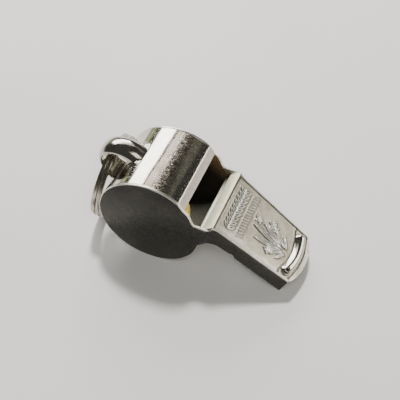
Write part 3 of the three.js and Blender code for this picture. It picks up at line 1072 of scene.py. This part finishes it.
def make_ring():
    """Two turns of flat wire with rounded edges and cut ends."""
    across, up, axis = ring_axes()
    centre = RING_FOOT + up * (RING_RADIUS + RING_TURN_THICKNESS / 2)
    step_span, end_gap = math.radians(40), math.radians(3)
    half_w, half_t = RING_TURN_WIDTH / 2, RING_TURN_THICKNESS / 2
    signs = ((-1, -1), (1, -1), (1, 1), (-1, 1))
    section = rounded([(a * half_w, b * half_t, WIRE_ROUNDING) for a, b in signs], 5)
    total = 4 * math.pi - step_span - end_gap
    steps = 420
    shape = Shape()
    rings = []
    for k in range(steps + 1):
        angle = total * k / steps
        step = float(smoothstep(2 * math.pi - step_span, 2 * math.pi, angle))
        height = (step - 0.5) * RING_PITCH
        end = min(k, steps - k)
        shrink = 1 - 0.12 * max(0, 1 - end / 1.5)
        out = across * math.cos(angle) + up * math.sin(angle)
        ring = []
        for w, t in section:
            outward, sideways = out * (RING_RADIUS + t * shrink), axis * (height + w * shrink)
            ring.append(tuple(centre + outward + sideways))
        rings.append(shape.add(ring))
    for a, b in zip(rings, rings[1:]):
        shape.bridge(a, b)
    shape.fill(rings[0], section)
    shape.fill(rings[-1], section)
    nodes = ["split_ring"]
    return make_piece(
        "split_ring_wire", shape, [WIRE], "ring", nodes, from_upright, sharp_deg=40
    )


def make_pea():
    """A cork ball: slightly out of round, with open pores."""
    bm = bmesh.new()
    bmesh.ops.create_icosphere(bm, subdivisions=6, radius=1.0)
    centre = np.array([0, 0, -DRUM_RADIUS + SHEET + PEA_GAP + PEA_RADIUS])
    shape = Shape()
    points = []
    for vert in bm.verts:
        p = vert.co.normalized()
        lump = 0.07 * noise.noise(p * 1.6) + 0.035 * noise.noise(p * 5.0)
        hole = max(0.0, noise.noise(p * 7.5 + Vector((4.0, 2.0, 9.0))) - 0.34) * 0.8
        points.append(tuple(centre + np.array(p) * (PEA_RADIUS - 0.1 + lump - hole)))
    shape.add(points)
    for face in bm.faces:
        shape.face([v.index for v in face.verts])
    bm.free()
    return make_piece(
        "cork_ball", shape, [CORK], "pea", ["cork_pea"], from_upright, sharp_deg=180
    )


WEB_Y = -8.44
WEB_THICKNESS = 0.4


def make_lip_web():
    """Brass showing in the corner where the lip's near end is soldered to the cheek."""
    shape = Shape()
    rows = []
    for t in np.linspace(0, 1, 15):
        x = 1.95 + 2.1 * t
        z = 10.74 - 0.34 * t
        reach = 2.3 * (1 - t**2.4) + 0.04
        row = []
        for s in np.linspace(0, 1, 10):
            row.append((x, WEB_Y + reach * s, z - 0.12 * math.sin(math.pi * s) * (1 - t)))
        rows.append(row)
    top = [shape.add(row) for row in rows]
    low = [shape.add([(x, y, z - WEB_THICKNESS) for x, y, z in row]) for row in rows]
    for side in (top, low):
        for a, b in zip(side, side[1:]):
            shape.bridge(a, b, closed=False)
    shape.bridge(border(top), border(low))
    return make_piece(
        "lip_web", shape, [WORN_BRASS], "whistle_body", [], sharp_deg=60
    )


# ---- Stage, light and camera ----

CAMERA_PLACE_MM = (51.037, -137.910, 194.273)
CAMERA_TURN_DEG = (38.9294, -1.3332, 22.4241)
LENS_MM = 97.132


def make_camera():
    data = bpy.data.cameras.new("camera")
    data.lens, data.sensor_width = LENS_MM, 36.0
    data.clip_start, data.clip_end = 0.01, 10.0
    camera = bpy.data.objects.new("camera", data)
    camera.location = [v * MM for v in CAMERA_PLACE_MM]
    camera.rotation_euler = [math.radians(a) for a in CAMERA_TURN_DEG]
    bpy.context.scene.collection.objects.link(camera)
    bpy.context.scene.camera = camera


LIGHT_TARGET_M = Vector((0, 0, 0.01))


def sky_direction(azimuth_deg, elevation_deg):
    """Unit vector towards a place in the sky. Azimuth 0 is the front, and 90 the right."""
    a, e = math.radians(azimuth_deg), math.radians(elevation_deg)
    return Vector((math.sin(a) * math.cos(e), -math.cos(a) * math.cos(e), math.sin(e)))


def make_light(name, azimuth, elevation, distance, size, power, color=(1, 1, 1), glossy=True):
    data = bpy.data.lights.new(name, "AREA")
    data.shape = "RECTANGLE"
    data.size, data.size_y = size
    data.energy, data.color = power, color
    light = bpy.data.objects.new(name, data)
    toward = sky_direction(azimuth, elevation)
    light.location = LIGHT_TARGET_M + toward * distance
    light.visible_glossy = glossy
    light.visible_camera = False
    light.rotation_euler = (-toward).to_track_quat("-Z", "Y").to_euler()
    bpy.context.scene.collection.objects.link(light)


HORIZON_STRENGTH = 0.5
SKY_STRENGTH = 0.085
SKY_STARTS = 0.16
SKY_COLOR = (0.80, 0.78, 0.74, 1)


def make_world():
    """A plain sky, brighter at the horizon."""
    world = bpy.data.worlds.new("studio")
    bpy.context.scene.world = world
    world.use_nodes = True
    background = world.node_tree.nodes["Background"]
    tree = world.node_tree
    background.inputs["Color"].default_value = SKY_COLOR
    sky = tree.nodes.new("ShaderNodeTexCoord")
    parts = tree.nodes.new("ShaderNodeSeparateXYZ")
    level = tree.nodes.new("ShaderNodeMapRange")
    ends = {"From Min": 0.0, "From Max": SKY_STARTS}
    ends.update({"To Min": HORIZON_STRENGTH, "To Max": SKY_STRENGTH})
    for key, number in ends.items():
        level.inputs[key].default_value = number
    tree.links.new(sky.outputs["Generated"], parts.inputs["Vector"])
    tree.links.new(parts.outputs["Z"], level.inputs["Value"])
    tree.links.new(level.outputs["Result"], background.inputs["Strength"])


FLOOR_HALF_M = 0.9


def make_floor():
    mesh = bpy.data.meshes.new("floor")
    corners = [(-FLOOR_HALF_M, -FLOOR_HALF_M, 0), (FLOOR_HALF_M, -FLOOR_HALF_M, 0)]
    corners += [(FLOOR_HALF_M, FLOOR_HALF_M, 0), (-FLOOR_HALF_M, FLOOR_HALF_M, 0)]
    mesh.from_pydata(corners, [], [(0, 1, 2, 3)])
    mesh.materials.append(floor_material())
    floor = bpy.data.objects.new("floor", mesh)
    bpy.context.scene.collection.objects.link(floor)


make_camera()
make_world()
make_floor()
make_light("key", -154.5, 62, 0.5, (0.06, 0.06), 4.4, (1.0, 0.97, 0.93), glossy=False)
make_light("window", -144, 32, 0.6, (0.48, 0.23), 3.0, (1.0, 0.99, 0.97))
make_light("beige_card", -156, 49.5, 0.6, (0.40, 0.065), 0.17, (1.0, 0.86, 0.76))
make_light("right_card", 128, 15, 0.6, (0.34, 0.17), 0.85, (1.0, 0.95, 0.86))
make_light("loop_card", 62, 66, 0.6, (0.24, 0.20), 0.36, (1.0, 0.95, 0.80))
make_light("fill", 22, 55, 0.6, (0.25, 0.25), 2.1, (1.0, 0.98, 0.95), glossy=False)
make_light("green_card", -124, 7, 0.6, (0.24, 0.09), 0.03, (0.86, 1.0, 0.42))
make_light("olive_card", 157, 43, 0.6, (0.22, 0.13), 0.014, (0.95, 0.93, 0.74))

make_barrel()
make_cheek("cheek_near", -1, "right_cheek")
make_cheek("cheek_far", 1, "left_cheek")
make_base()
make_roof()
make_slit_floor()
make_top_plate()
make_bead()
make_loop()
make_loop_solder()
make_lip_web()
make_ring()
make_pea()
